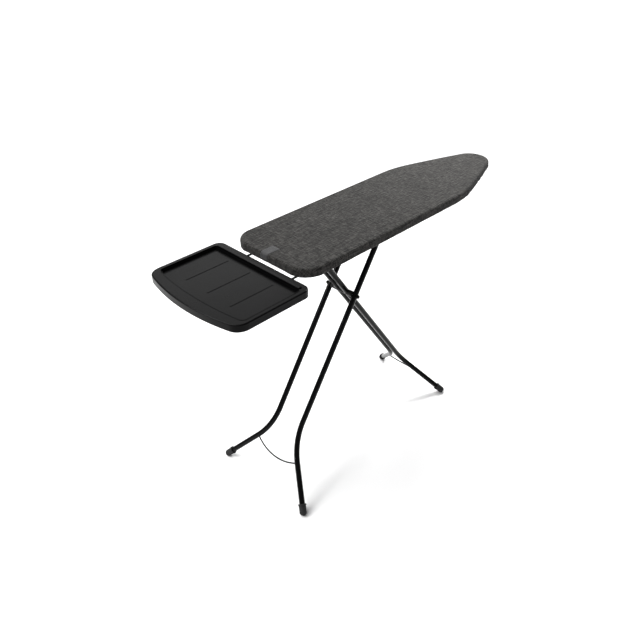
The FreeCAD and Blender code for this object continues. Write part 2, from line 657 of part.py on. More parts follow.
# ---- holder for a steam unit --------------------------------------------------------------------
def tray_outline(rear_x, front_x, half_rear, half_front, rear_radius, front_radius, bow_radius):
    """Straight rear edge, slightly tapered sides and a bowed front, all joined by tangent corners."""
    tilt = math.atan2(half_rear - half_front, rear_x - front_x)
    normal = V(-math.sin(tilt), math.cos(tilt), 0)
    level = normal.dot(V(rear_x, half_rear, 0))
    rear_cx = rear_x - rear_radius
    rear = V(rear_cx, (level - rear_radius - normal.x * rear_cx) / normal.y, 0)
    bow = V(front_x + bow_radius, 0, 0)
    offset = (level - front_radius) / normal.y
    slope = -normal.x / normal.y
    reach = bow_radius - front_radius
    a = 1 + slope ** 2
    b = 2 * (slope * offset - bow.x)
    c = bow.x ** 2 + offset ** 2 - reach ** 2
    front_cx = (-b - math.sqrt(b * b - 4 * a * c)) / (2 * a)
    front = V(front_cx, offset + slope * front_cx, 0)
    side_angle = math.pi / 2 + tilt
    front_angle = math.atan2(front.y - bow.y, front.x - bow.x)
    side = Part.LineSegment(rear + normal * rear_radius, front + normal * front_radius).toShape()
    half = [
        arc_edge(rear, rear_radius, 0, side_angle),
        side,
        arc_edge(front, front_radius, side_angle, front_angle),
    ]
    rear_line = Part.LineSegment(V(rear_x, -rear.y, 0), V(rear_x, rear.y, 0)).toShape()
    bow_end = point_on(front, front_radius, front_angle)
    bow_edge = Part.Arc(bow_end, V(front_x, 0, 0), V(bow_end.x, -bow_end.y, 0)).toShape()
    return closed_outline(half, rear_line, bow_edge)


def tray_shape(inset):
    half = TRAY_HALF_WIDTH - inset
    return tray_outline(TRAY_REAR_X - inset, TRAY_FRONT_X + inset, half, half - TRAY_TAPER,
                        TRAY_REAR_RADIUS - inset, TRAY_FRONT_RADIUS - inset, TRAY_BOW_RADIUS - inset)


def recess_shape(grow):
    half = RECESS_HALF_WIDTH + grow
    return tray_outline(RECESS_REAR_X + grow, RECESS_FRONT_X - grow, half, half - TRAY_TAPER,
                        RECESS_REAR_RADIUS + grow, RECESS_FRONT_RADIUS + grow, RECESS_BOW_RADIUS + grow)


def build_tray():
    """Moulded shell: rim all round, stepped recess with a ribbed floor, rear rail and a thin lip."""
    outer = fillet_top(prism(tray_shape(0), TRAY_BOTTOM, TRAY_TOP), TRAY_TOP, TRAY_EDGE_RADIUS)
    lip = prism(recess_shape(TRAY_LIP), TRAY_TOP - CUT, TRAY_TOP + TRAY_LIP_HEIGHT)
    ledge = TRAY_FLOOR + RECESS_LEDGE_HEIGHT
    recess = prism(recess_shape(0), ledge, TRAY_TOP + 2 * TRAY_LIP_HEIGHT)
    recess = recess.fuse(prism(recess_shape(-RECESS_LEDGE_WIDTH), TRAY_FLOOR, ledge + CUT))
    ceiling = TRAY_TOP - TRAY_WALL
    under = fillet_top(prism(tray_shape(TRAY_WALL), TRAY_BOTTOM - CUT, ceiling), ceiling, TRAY_INSIDE_RADIUS)
    floor_block = prism(recess_shape(TRAY_WALL), TRAY_FLOOR - TRAY_WALL, TRAY_TOP - CUT)
    shell = outer.cut(under.cut(floor_block)).fuse(lip).fuse(build_tray_rail()).cut(recess)
    return shell.fuse(tray_ribs()).cut(wire_notches()).removeSplitter()


def build_tray_rail():
    """Raised band on the rear rim, along the edge of the recess."""
    half = RECESS_HALF_WIDTH - TRAY_RAIL_END_GAP
    top = TRAY_TOP + TRAY_RAIL_HEIGHT
    rail = box(RECESS_REAR_X, RECESS_REAR_X + TRAY_RAIL_WIDTH, -half, half, TRAY_TOP - CUT, top)
    return fillet_top(rail, top, TRAY_RAIL_ROUNDING)


def tray_ribs():
    ribs = []
    middle = (RECESS_REAR_X + RECESS_FRONT_X) / 2 + TRAY_RIB_OFFSET
    half = TRAY_RIB_LENGTH / 2
    for number in (-1, 0, 1):
        y0 = number * TRAY_RIB_PITCH - TRAY_RIB_WIDTH / 2
        y1 = y0 + TRAY_RIB_WIDTH
        ribs.append(box(middle - half, middle + half, y0, y1, TRAY_FLOOR - CUT, TRAY_FLOOR + TRAY_RIB_HEIGHT))
    return ribs


def wire_notches():
    """Notches in the rear skirt that the wire's arms lie in."""
    notches = []
    for side in (-1, 1):
        y = side * WIRE_HALF_SPACING
        x0 = TRAY_REAR_X - TRAY_WALL - CUT
        x1 = TRAY_REAR_X + CUT
        notches.append(Part.makeCylinder(WIRE_RADIUS, x1 - x0, V(x0, y, WIRE_HEIGHT), V(1, 0, 0)))
        notches.append(box(x0, x1, y - WIRE_RADIUS, y + WIRE_RADIUS, TRAY_BOTTOM - CUT, WIRE_HEIGHT))
    return notches


def build_holder_wire():
    """U-shaped wire: two arms from under the board, joined by a cross run below the tray."""
    far_x = TRAY_REAR_X - WIRE_FRONT_REACH
    arm_end = far_x + WIRE_BEND_RADIUS
    cross_half = WIRE_HALF_SPACING - WIRE_BEND_RADIUS
    pieces = []
    for side in (-1, 1):
        bend_start = V(arm_end, side * WIRE_HALF_SPACING, WIRE_HEIGHT)
        pieces.append(Part.makeCylinder(WIRE_RADIUS, WIRE_INNER_END - arm_end, bend_start, V(1, 0, 0)))
        disc = Part.Face(Part.Wire(Part.makeCircle(WIRE_RADIUS, bend_start, V(1, 0, 0))))
        centre = V(arm_end, side * cross_half, WIRE_HEIGHT)
        pieces.append(disc.revolve(centre, UP, 90 * side))
    pieces.append(cross_rod(WIRE_RADIUS, -cross_half, cross_half, far_x, WIRE_HEIGHT))
    return pieces[0].fuse(pieces[1:]).removeSplitter()


def build_guides():
    """Four bored blocks that hang from the deck and carry the holder's arms."""
    guides = []
    low = WIRE_HEIGHT - WIRE_RADIUS - GUIDE_FLOOR
    for x0 in (FRONT_GUIDE_START, REAR_GUIDE_START):
        for side in (-1, 1):
            y = side * WIRE_HALF_SPACING
            block = box(x0, x0 + GUIDE_LENGTH, y - GUIDE_HALF_WIDTH, y + GUIDE_HALF_WIDTH, low, RIM_BOTTOM)
            bore = Part.makeCylinder(WIRE_RADIUS + RUNNING, GUIDE_LENGTH, V(x0, y, WIRE_HEIGHT), V(1, 0, 0))
            guides.append(block.cut(bore))
    return group(guides)


def build_guide_strap():
    """Flat strap across the rim that the front guides are fastened to."""
    x0 = FRONT_GUIDE_START
    top = RIM_BOTTOM + GUIDE_STRAP_THICKNESS
    strap = box(x0, x0 + GUIDE_LENGTH, -HALF_WIDTH, HALF_WIDTH, RIM_BOTTOM, top)
    return strap.common(prism(board_outline(RIM_INNER), RIM_BOTTOM, RIM_TOP))


def build_collars():
    collars = []
    for side in (-1, 1):
        start = V(COLLAR_START, side * WIRE_HALF_SPACING, WIRE_HEIGHT)
        ring = Part.makeCylinder(COLLAR_RADIUS, COLLAR_LENGTH, start, V(1, 0, 0))
        collars.append(ring.cut(Part.makeCylinder(WIRE_RADIUS, COLLAR_LENGTH, start, V(1, 0, 0))))
    return group(collars)


def clip_places():
    reach = WIRE_FRONT_REACH - WIRE_BEND_RADIUS
    return [V(TRAY_REAR_X - reach * share, side * WIRE_HALF_SPACING, 0)
            for share in CLIP_SHARES for side in (-1, 1)]


def build_clips():
    """Saddles that hold the tray's floor on the wire arms."""
    clips = []
    top = TRAY_FLOOR - TRAY_WALL
    for place in clip_places():
        x0 = place.x - CLIP_LENGTH / 2
        x1 = x0 + CLIP_LENGTH
        block = box(x0, x1, place.y - CLIP_HALF_WIDTH, place.y + CLIP_HALF_WIDTH, SCREW_LOW, top)
        groove = Part.makeCylinder(WIRE_RADIUS, CLIP_LENGTH, V(x0, place.y, WIRE_HEIGHT), V(1, 0, 0))
        mouth = box(x0, x1, place.y - WIRE_RADIUS, place.y + WIRE_RADIUS, SCREW_LOW - CUT, WIRE_HEIGHT)
        holes = [screw_shank(place, side) for side in (-1, 1)]
        clips.append(block.cut([groove, mouth] + holes))
    return group(clips)


def screw_y(place, side):
    return place.y + side * (WIRE_RADIUS + SCREW_RADIUS + SCREW_GAP)


def screw_shank(place, side):
    """Shank beside the wire, from below the saddle up to the tray's floor."""
    start = V(place.x, screw_y(place, side), SCREW_LOW)
    return Part.makeCylinder(SCREW_RADIUS, TRAY_FLOOR - TRAY_WALL - SCREW_LOW, start)


def build_clip_screws():
    screws = []
    for place in clip_places():
        for side in (-1, 1):
            start = V(place.x, screw_y(place, side), SCREW_LOW - SCREW_HEAD_HEIGHT)
            head = Part.makeCylinder(SCREW_HEAD_RADIUS, SCREW_HEAD_HEIGHT, start)
            screws.append(screw_shank(place, side).fuse(head))
    return group(screws)


# ---- all sub-parts ------------------------------------------------------------------------------
def main():
    os.makedirs("parts", exist_ok=True)
    save("cover", build_cover())
    save("cover_hem_elastic", build_hem())
    save("label", build_label())
    save("foam_pad", build_pad())
    save("deck_panel", build_deck())
    save("rim_channel", build_rim())
    for number, station in enumerate(RIB_STATIONS, 1):
        save("cross_rib_%d" % number, build_rib(station))
    save("rail_far", build_rail(1))
    save("rail_near", build_rail(-1))
    save("rail_rivets", build_rail_rivets())
    save("hinge_pin", build_hinge_pin())
    save("hinge_spacers", both_sides(build_hinge_spacer()))
    save("holder_guides", build_guides())
    save("guide_strap", build_guide_strap())
    save("lever_pin", build_lever_pin())
    save("lever_spring", build_lever_spring())
    save("inner_top_tube", build_inner_top_tube())
    save("inner_leg_far", build_inner_leg())
    save("inner_leg_near", mirror_y(build_inner_leg()))
    save("inner_brace_wire", INNER.brace(INNER_BRACE_FROM_FOOT))
    save("inner_foot_far", INNER.foot_cap())
    save("inner_foot_near", mirror_y(INNER.foot_cap()))
    save("pivot_axle", cross_rod(AXLE_RADIUS, -AXLE_REACH, AXLE_REACH, PIVOT_X, PIVOT_HEIGHT))
    save("pivot_middle_spacer", build_middle_spacer())
    save("pivot_side_spacers", both_sides(build_side_spacer()))
    save("pivot_washers", both_sides(build_washer()))
    save("pivot_cap_nuts", both_sides(build_cap_nut()))
    save("outer_leg_far", build_outer_leg())
    save("outer_leg_near", mirror_y(build_outer_leg()))
    save("outer_tube_plugs", both_sides(build_outer_plug()))
    save("outer_slide_bar", build_slide_bar())
    save("slide_rollers", both_sides(build_roller()))
    save("outer_brace_wire", OUTER.brace(OUTER_BRACE_FROM_FOOT))
    save("outer_foot_far", OUTER.foot_cap())
    save("outer_foot_near", mirror_y(OUTER.foot_cap()))
    save("height_lever_plate", build_lever_plate())
    save("height_lever_rod", build_lever_rod())
    save("height_lever_grip", build_lever_grip())
    save("holder_tray", build_tray())
    save("holder_wire", build_holder_wire())
    save("holder_collars", build_collars())
    save("holder_clips", build_clips())
    save("holder_clip_screws", build_clip_screws())


main()
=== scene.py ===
"""Ironing board with a steam-unit holder: fabric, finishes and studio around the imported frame."""

import json
import math

import bmesh
import bpy
from bpy.props import FloatProperty, FloatVectorProperty, PointerProperty
from mathutils import Matrix, Vector, noise


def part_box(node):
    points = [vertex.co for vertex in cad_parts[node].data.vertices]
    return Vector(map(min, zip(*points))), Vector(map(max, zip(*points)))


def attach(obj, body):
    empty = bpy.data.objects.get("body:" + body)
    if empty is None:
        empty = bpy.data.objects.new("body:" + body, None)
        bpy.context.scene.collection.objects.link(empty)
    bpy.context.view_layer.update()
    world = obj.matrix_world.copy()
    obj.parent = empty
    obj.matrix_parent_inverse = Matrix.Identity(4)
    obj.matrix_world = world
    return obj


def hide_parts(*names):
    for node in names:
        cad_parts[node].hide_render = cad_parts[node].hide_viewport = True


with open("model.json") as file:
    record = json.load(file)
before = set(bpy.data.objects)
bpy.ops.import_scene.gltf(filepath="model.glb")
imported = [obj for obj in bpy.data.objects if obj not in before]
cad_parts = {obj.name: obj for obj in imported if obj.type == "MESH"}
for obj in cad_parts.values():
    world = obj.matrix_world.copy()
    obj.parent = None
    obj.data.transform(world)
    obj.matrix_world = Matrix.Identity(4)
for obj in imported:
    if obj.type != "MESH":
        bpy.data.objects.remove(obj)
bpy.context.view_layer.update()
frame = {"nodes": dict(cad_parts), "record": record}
COVER_LOW, COVER_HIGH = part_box("cover")
LABEL_LOW, LABEL_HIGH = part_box("label")

bl_info = {
    "name": "Ironing Board Maker",
    "version": (1, 0, 0),
    "blender": (4, 5, 0),
    "location": "3D View > Sidebar > Ironing Board",
    "description": "Dresses an ironing board frame with its cover, pad, finishes and studio",
    "category": "Object",
}

IDENTITY = Matrix.Identity(4)
ALONG = Vector((1, 0, 0))
ACROSS = Vector((0, 1, 0))
UP = Vector((0, 0, 1))

ROUND_STEPS = 6  # steps of a quarter round
MERGE = 1e-5  # vertices closer than this, in metres, are one
STITCH_HALF = (0.0013, 0.0003, 0.0002)  # half length, width and height of a stitch
HEM_STEP = 0.0014  # half the height of the rolled hem
TAPE_THICKNESS = 0.0006
PATCH_THICKNESS = 0.0006
PATCH_DROP = 0.0135  # length of the patch down the skirt
PATCH_LIFT = 0.0004  # height of the patch's middle over the cloth
SEAM_INSET = 0.0016  # from the patch's edge to its stitches
SEAM_PITCH = 0.0042
SEAM_LIFT = 0.0007


# ---- settings -----------------------------------------------------------------------------------
class BoardShape(bpy.types.PropertyGroup):
    """Outline of the ironing surface."""

    corner: FloatProperty(name="End corner radius", description="Round of the square end's corners",
                          default=0.076, unit="LENGTH")
    nose: FloatProperty(name="Nose radius", description="Round of the nose tip", default=0.078, unit="LENGTH")
    straight: FloatProperty(name="Shoulder start", description="Length of the parallel sides",
                            default=0.785, unit="LENGTH")
    shoulder: FloatProperty(name="Shoulder radius", description="Round where the taper begins",
                            default=0.46, unit="LENGTH")
    turn: FloatProperty(name="Shoulder turn", description="Angle that the shoulder turns through",
                        default=math.radians(17.544), subtype="ANGLE")
    pitch: FloatProperty(name="Mesh pitch", description="Spacing of the cover's mesh along its edge",
                         default=0.005, unit="LENGTH")


class CoverShape(bpy.types.PropertyGroup):
    """Section of the fabric cover at the board's edge."""

    rounding: FloatProperty(name="Edge round", description="Round of the top edge over the pad",
                            default=0.0095, unit="LENGTH")
    tuck: FloatProperty(name="Lower round", description="Round where the cover turns under the rim",
                        default=0.004, unit="LENGTH")
    turn_under: FloatProperty(name="Turned-under width", description="Width of cover below the rim",
                              default=0.029, unit="LENGTH")
    gather: FloatProperty(name="Gather depth", description="Depth of the folds at the elastic hem",
                          default=0.0030, unit="LENGTH")
    sag: FloatProperty(name="Hem sag", description="How far the hem wanders below the rim",
                       default=0.0018, unit="LENGTH")
    casing: FloatProperty(name="Hem casing", description="Width of the rolled hem over the elastic",
                          default=0.011, unit="LENGTH")
    thickness: FloatProperty(name="Cloth thickness", description="Thickness of the woven cloth",
                             default=0.0009, unit="LENGTH")


class FabricLook(bpy.types.PropertyGroup):
    """Colours and yarns of the melange cloth."""

    dark: FloatVectorProperty(name="Dark yarn", description="Colour of the dark yarns", subtype="COLOR",
                              default=(0.0030, 0.0029, 0.0028), min=0, max=1)
    light: FloatVectorProperty(name="Light yarn", description="Colour of the light yarns", subtype="COLOR",
                               default=(0.059, 0.0565, 0.053), min=0, max=1)
    yarn: FloatProperty(name="Yarn pitch", description="Spacing of the yarns", default=0.0012, unit="LENGTH")


class StudioLook(bpy.types.PropertyGroup):
    """Camera, floor and lights."""

    azimuth: FloatProperty(name="Azimuth", description="Direction that the camera stands in",
                           default=math.radians(-47.17), subtype="ANGLE")
    elevation: FloatProperty(name="Elevation", description="Camera angle above the horizon",
                             default=math.radians(34.33), subtype="ANGLE")
    distance: FloatProperty(name="Distance", description="Camera distance from its aim", default=2.650,
                            unit="LENGTH")
    aim: FloatVectorProperty(name="Aim", description="Point that the camera looks at", subtype="XYZ",
                             default=(-0.0243, 0.0, 0.5484), unit="LENGTH")
    lens: FloatProperty(name="Lens", description="Focal length", default=36.77, unit="CAMERA")
    shift: FloatVectorProperty(name="Lens shift", description="Sideways and upward shift of the lens", size=2,
                               default=(-0.0558, -0.0078))
    sky: FloatProperty(name="Sky light", description="Strength of the even light all round", default=0.32)
    bank: FloatProperty(name="Overhead bank", description="Strength of the large overhead light", default=3.5)
    spread: FloatProperty(name="Bank spread", description="Apparent width of the overhead light",
                          default=math.radians(52), subtype="ANGLE")
    floor: FloatVectorProperty(name="Floor colour", description="Colour of the studio floor", subtype="COLOR",
                               default=(0.93, 0.93, 0.93), min=0, max=1)


class BoardSettings(bpy.types.PropertyGroup):
    """All settings of the ironing board."""

    board: PointerProperty(type=BoardShape)
    cover: PointerProperty(type=CoverShape)
    fabric: PointerProperty(type=FabricLook)
    studio: PointerProperty(type=StudioLook)


def settings():
    return bpy.context.scene.ironing_board


# ---- node helpers -------------------------------------------------------------------------------
class Shader:
    """A material's node tree with short calls for the nodes used here."""

    def __init__(self, name):
        self.material = bpy.data.materials.new(name)
        self.material.use_nodes = True
        self.tree = self.material.node_tree
        self.surface = self.tree.nodes["Principled BSDF"]

    def node(self, kind, inputs=None, **values):
        made = self.tree.nodes.new(kind)
        for key, value in values.items():
            setattr(made, key, value)
        for key, value in (inputs or {}).items():
            if isinstance(value, bpy.types.NodeSocket):
                self.tree.links.new(value, made.inputs[key])
            else:
                made.inputs[key].default_value = value
        return made

    def link(self, source, target):
        self.tree.links.new(source, self.surface.inputs[target])

    def set(self, **values):
        for key, value in values.items():
            self.surface.inputs[key.replace("_", " ").title().replace("Ior", "IOR")].default_value = value

    def coordinates(self, source, scale=(1, 1, 1)):
        place = self.node("ShaderNodeTexCoord").outputs[source]
        return self.node("ShaderNodeMapping", {"Vector": place, "Scale": scale}).outputs["Vector"]

    def noise(self, vector, scale, detail=2.0, rough=0.5):
        made = self.node("ShaderNodeTexNoise", {"Vector": vector, "Scale": scale, "Detail": detail,
                                                "Roughness": rough})
        return made.outputs["Fac"]

    def math(self, operation, first, second=0.5):
        return self.node("ShaderNodeMath", {0: first, 1: second}, operation=operation).outputs[0]

    def ramp(self, factor, stops):
        made = self.node("ShaderNodeValToRGB", {"Fac": factor})
        ramp = made.color_ramp
        while len(ramp.elements) < len(stops):
            ramp.elements.new(0.5)
        for element, (place, colour) in zip(ramp.elements, stops):
            element.position = place
            element.color = (*colour, 1)
        return made.outputs["Color"]

    def bump(self, height, distance, strength):
        inputs = {"Height": height, "Distance": distance, "Strength": strength}
        return self.node("ShaderNodeBump", inputs).outputs["Normal"]

    def tint(self, factor, low, high, colour, darker, lighter):
        """Colour that varies between two strengths of itself."""
        stops = [(low, [c * darker for c in colour]), (high, [c * lighter for c in colour])]
        self.link(self.ramp(factor, stops), "Base Color")

    def map_range(self, value, low, high, to_low, to_high):
        made = self.node("ShaderNodeMapRange", {"Value": value, "From Min": low, "From Max": high,
                                                "To Min": to_low, "To Max": to_high})
        return made.outputs["Result"]


def woven_melange(name, dark, light, yarn):
    """Plain weave of uneven dark and light yarns, with short flecks and slubs both ways."""
    shader = Shader(name)
    cloth = shader.coordinates("UV")
    apart = shader.node("ShaderNodeSeparateXYZ", {"Vector": cloth})
    count = 2 * math.pi / yarn
    warp = shader.math("SINE", shader.math("MULTIPLY", apart.outputs["Y"], count))
    weft = shader.math("SINE", shader.math("MULTIPLY", apart.outputs["X"], count))
    over = shader.math("MULTIPLY", warp, weft)
    layers = (((14, 330, 1), 3.0, 0.27), ((330, 14, 1), 3.0, 0.23), ((50, 190, 1), 2.0, 0.19),
              ((190, 50, 1), 2.0, 0.19), ((560, 560, 1), 1.0, 0.12))
    tone = None
    for scale, detail, share in layers:
        yarns = shader.noise(shader.coordinates("UV", scale), 1.0, detail, 0.62)
        part = shader.math("MULTIPLY", yarns, share)
        tone = part if tone is None else shader.math("ADD", tone, part)
    patches = shader.math("SUBTRACT", shader.noise(cloth, 7.0, 3.0, 0.55), 0.5)
    tone = shader.math("ADD", tone, shader.math("MULTIPLY", patches, 0.05))
    tone = shader.math("ADD", tone, shader.math("MULTIPLY", over, 0.02))
    middle = tuple(a * 0.66 + b * 0.34 for a, b in zip(dark, light))
    colour = shader.ramp(tone, [(0.43, tuple(dark)), (0.5, middle), (0.575, tuple(light))])
    shader.link(colour, "Base Color")
    height = shader.math("ADD", shader.math("MULTIPLY", over, 0.22), tone)
    shader.link(shader.bump(height, 0.0007, 0.6), "Normal")
    shader.set(roughness=0.95, sheen_weight=0.05, sheen_roughness=0.6, specular_ior_level=0.12)
    return shader.material


def ribbed_tape(name, colour, rib, thread):
    """Narrow woven tape with a fine basket of ribs and paler threads."""
    shader = Shader(name)
    place = shader.coordinates("Object")
    apart = shader.node("ShaderNodeSeparateXYZ", {"Vector": place})
    wave = shader.math("SINE", shader.math("MULTIPLY", apart.outputs["X"], 2 * math.pi / rib))
    cross = shader.math("SINE", shader.math("MULTIPLY", apart.outputs["Y"], 2 * math.pi / (rib * 0.8)))
    weave = shader.math("MULTIPLY", wave, cross)
    cloud = shader.noise(place, 240.0, 3.0)
    tone = shader.math("ADD", shader.math("MULTIPLY", weave, 0.18), cloud)
    stops = [(0.3, [c * 0.7 for c in colour]), (0.55, colour), (0.8, [c * thread for c in colour])]
    shader.link(shader.ramp(tone, stops), "Base Color")
    shader.link(shader.bump(weave, 0.0002, 0.5), "Normal")
    shader.set(roughness=0.6, specular_ior_level=0.3)
    return shader.material


def powder_coat(name, colour, roughness, gloss):
    """Stove-enamelled steel: faint orange peel and slightly uneven gloss."""
    shader = Shader(name)
    place = shader.coordinates("Object")
    peel = shader.noise(place, 900.0, 2.0)
    cloud = shader.noise(place, 14.0, 3.0)
    shader.tint(cloud, 0.3, 0.7, colour, 0.85, 1.2)
    shader.link(shader.map_range(cloud, 0.3, 0.7, roughness * 0.85, roughness * 1.15), "Roughness")
    shader.link(shader.bump(peel, 0.00012, 0.35), "Normal")
    shader.set(specular_ior_level=gloss)
    return shader.material


def moulded_plastic(name, colour, roughness, gloss, grain=1400.0, depth=0.0001):
    """Moulded plastic with a fine spark-eroded grain."""
    shader = Shader(name)
    place = shader.coordinates("Object")
    fine = shader.noise(place, grain, 3.0, 0.6)
    cloud = shader.noise(place, 9.0, 4.0, 0.6)
    shader.tint(cloud, 0.3, 0.72, colour, 0.88, 1.14)
    shader.link(shader.map_range(cloud, 0.3, 0.7, roughness * 0.92, roughness * 1.1), "Roughness")
    shader.link(shader.bump(fine, depth, 0.5), "Normal")
    shader.set(specular_ior_level=gloss)
    return shader.material


def rubber(name, colour):
    """Matt rubber with a dusty bloom."""
    shader = Shader(name)
    place = shader.coordinates("Object")
    bloom = shader.noise(place, 90.0, 4.0, 0.65)
    shader.tint(bloom, 0.35, 0.75, colour, 1.0, 1.5)
    shader.link(shader.bump(shader.noise(place, 700.0, 3.0), 0.0002, 0.5), "Normal")
    shader.set(roughness=0.7, specular_ior_level=0.25)
    return shader.material


def plated_steel(name, colour, roughness):
    """Zinc or bright steel with fine drawn lines."""
    shader = Shader(name)
    lines = shader.noise(shader.coordinates("Object", (900, 40, 900)), 1.0, 2.0)
    cloud = shader.noise(shader.coordinates("Object"), 60.0, 3.0)
    shader.tint(cloud, 0.3, 0.7, colour, 0.8, 1.0)
    shader.link(shader.map_range(cloud, 0.3, 0.7, roughness, roughness * 1.4), "Roughness")
    shader.link(shader.bump(lines, 0.00008, 0.4), "Normal")
    shader.set(metallic=1.0)
    return shader.material


def open_foam(name, colour):
    """Felted foam with small cells, and painted shade darkening the hollow of each cell."""
    shader = Shader(name)
    place = shader.coordinates("Object")
    cells = shader.node("ShaderNodeTexVoronoi", {"Vector": place, "Scale": 520.0}).outputs["Distance"]
    # painted shade: the foam colour falls to 0.7 of itself in each cell's hollow, where the bump sinks
    shader.tint(cells, 0.1, 0.6, colour, 0.7, 1.0)
    shader.link(shader.bump(cells, 0.0006, 0.6), "Normal")
    shader.set(roughness=0.95)
    return shader.material


# ---- shared mesh helpers ------------------------------------------------------------------------
def place_piece(name, mesh_builder, body, material):
    """Turn a finished bmesh into an object that rides on a body and has a finish."""
    mesh = bpy.data.meshes.new(name)
    mesh_builder.to_mesh(mesh)
    mesh_builder.free()
    piece = bpy.data.objects.new(name, mesh)
    bpy.context.scene.collection.objects.link(piece)
    mesh.materials.append(material)
    for polygon in mesh.polygons:
        polygon.use_smooth = True
    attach(piece, body)
    return piece


def thicken(piece, thickness, offset):
    """Give a sheet its thickness: offset -1 puts it below the sheet and 0 on both sides."""
    solid = piece.modifiers.new("thickness", "SOLIDIFY")
    solid.thickness = thickness
    solid.offset = offset


def turned(bm, vertex, centre, angle, steps):
    """Spin one vertex about an upright axis and give the last vertex of the arc."""
    made = bmesh.ops.spin(bm, geom=[vertex], cent=centre, axis=UP, dvec=(0, 0, 0), angle=angle, steps=steps,
                          space=IDENTITY, use_merge=False, use_normal_flip=False, use_duplicate=False)
    return [g for g in made["geom_last"] if isinstance(g, bmesh.types.BMVert)][0]


def drawn(bm, vertex, reach, pitch):
    """Extrude one vertex in equal steps and give the last vertex."""
    steps = max(1, round(reach.length / pitch))
    for _ in range(steps):
        made = bmesh.ops.extrude_vert_indiv(bm, verts=[vertex])
        vertex = made["verts"][0]
        bmesh.ops.translate(bm, verts=[vertex], vec=reach / steps)
    return vertex


def board_edge(bm, inset, height):
    """Far side of the board's outline, from the square end's corner to the nose tip."""
    shape = settings().board
    start_x, end_x = COVER_LOW.x, COVER_HIGH.x
    half = (COVER_HIGH.y - COVER_LOW.y) / 2
    corner = Vector((start_x + shape.corner, half - shape.corner, height))
    shoulder = Vector((start_x + shape.straight, half - shape.shoulder, height))
    nose = Vector((end_x - shape.nose, 0, height))
    normal = Vector((math.sin(shape.turn), math.cos(shape.turn), 0))
    reach = shoulder + normal * shape.shoulder - nose
    taper_radius = (reach.length_squared - shape.nose ** 2) / (2 * (reach.dot(normal) - shape.nose))
    taper = nose + reach - normal * taper_radius
    tip_turn = math.atan2(nose.x - taper.x, nose.y - taper.y)
    arc_pitch = shape.pitch * 0.62
    vertex = bm.verts.new((start_x + inset, corner.y, height))
    vertex = turned(bm, vertex, corner, -math.pi / 2, round(shape.corner * math.pi / 2 / arc_pitch))
    vertex = drawn(bm, vertex, Vector((shape.straight - shape.corner, 0, 0)), shape.pitch)
    vertex = turned(bm, vertex, shoulder, -shape.turn, round(shape.shoulder * shape.turn / shape.pitch))
    vertex = turned(bm, vertex, taper, shape.turn - tip_turn,
                    round(taper_radius * (tip_turn - shape.turn) / shape.pitch))
    tip_angle = math.pi / 2 - tip_turn
    turned(bm, vertex, nose, -tip_angle, round(shape.nose * tip_angle / arc_pitch))


def board_top(bm, inset, height, rungs):
    """Flat mesh of the whole top: the far edge drawn in to the centre line, then mirrored."""
    board_edge(bm, inset, height)
    edge = list(bm.edges)
    made = bmesh.ops.extrude_edge_only(bm, edges=edge)
    inner = [g for g in made["geom"] if isinstance(g, bmesh.types.BMVert)]
    bmesh.ops.scale(bm, vec=(1, 0, 1), verts=inner)
    bmesh.ops.remove_doubles(bm, verts=bm.verts, dist=1e-6)
    rung_edges = [e for e in bm.edges if abs(e.verts[0].co.x - e.verts[1].co.x) < 1e-6
                  and min(abs(v.co.y) for v in e.verts) < 1e-6]
    bmesh.ops.subdivide_edges(bm, edges=rung_edges, cuts=rungs, use_grid_fill=True)
    bmesh.ops.mirror(bm, geom=bm.verts[:] + bm.edges[:] + bm.faces[:], matrix=IDENTITY, merge_dist=MERGE,
                     axis="Y")
    bmesh.ops.remove_doubles(bm, verts=bm.verts, dist=MERGE)
    face_upwards(bm)


def face_upwards(bm):
    """Point a sheet's faces up."""
    bmesh.ops.recalc_face_normals(bm, faces=bm.faces)
    if sum(f.normal.z for f in bm.faces) < 0:
        bmesh.ops.reverse_faces(bm, faces=bm.faces)


def quarter_round(radius):
    """Sideways and downward steps of a quarter round, as (outward, up) pairs."""
    angles = [math.pi / 2 * step / ROUND_STEPS for step in range(1, ROUND_STEPS + 1)]
    return [(radius * math.sin(angle), radius * (math.cos(angle) - 1)) for angle in angles]


def outward(vertex):
    """Flat outward normal at a vertex of the open edge."""
    total = Vector()
    for edge in vertex.link_edges:
        if edge.is_boundary:
            face = edge.link_faces[0]
            middle = (edge.verts[0].co + edge.verts[1].co) / 2
            along = edge.verts[1].co - edge.verts[0].co
            side = Vector((along.y, -along.x, 0)).normalized()
            if side.dot(middle - face.calc_center_median()) < 0:
                side = -side
            total += side
    return total.normalized()


def swept_edge(bm, section, flat, roots):
    """Carry the open edge through a section of (outward, up) steps.

    `flat` collects each new vertex's place in the flat cloth. `roots` collects the outline point that it
    comes from, that point's outward direction and the length of cloth between them.
    """
    edges = [e for e in bm.edges if e.is_boundary]
    base = {v: (v.co.copy(), outward(v)) for e in edges for v in e.verts}
    travelled = 0.0
    last = Vector((0, 0))
    for out, rise in section:
        travelled += (Vector((out, rise)) - last).length
        last = Vector((out, rise))
        made = bmesh.ops.extrude_edge_only(bm, edges=edges)
        fresh = [g for g in made["geom"] if isinstance(g, bmesh.types.BMVert)]
        edges = [g for g in made["geom"] if isinstance(g, bmesh.types.BMEdge)]
        grown = {}
        for vertex in fresh:
            beside = [e.other_vert(vertex) for e in vertex.link_edges]
            parent = next(v for v in beside if v in base)
            place, normal = base[parent]
            grown[vertex] = (place, normal)
            vertex.co = place + normal * out + UP * rise
            flat[vertex] = place + normal * travelled
            roots[vertex] = (place, normal, travelled)
        base = grown


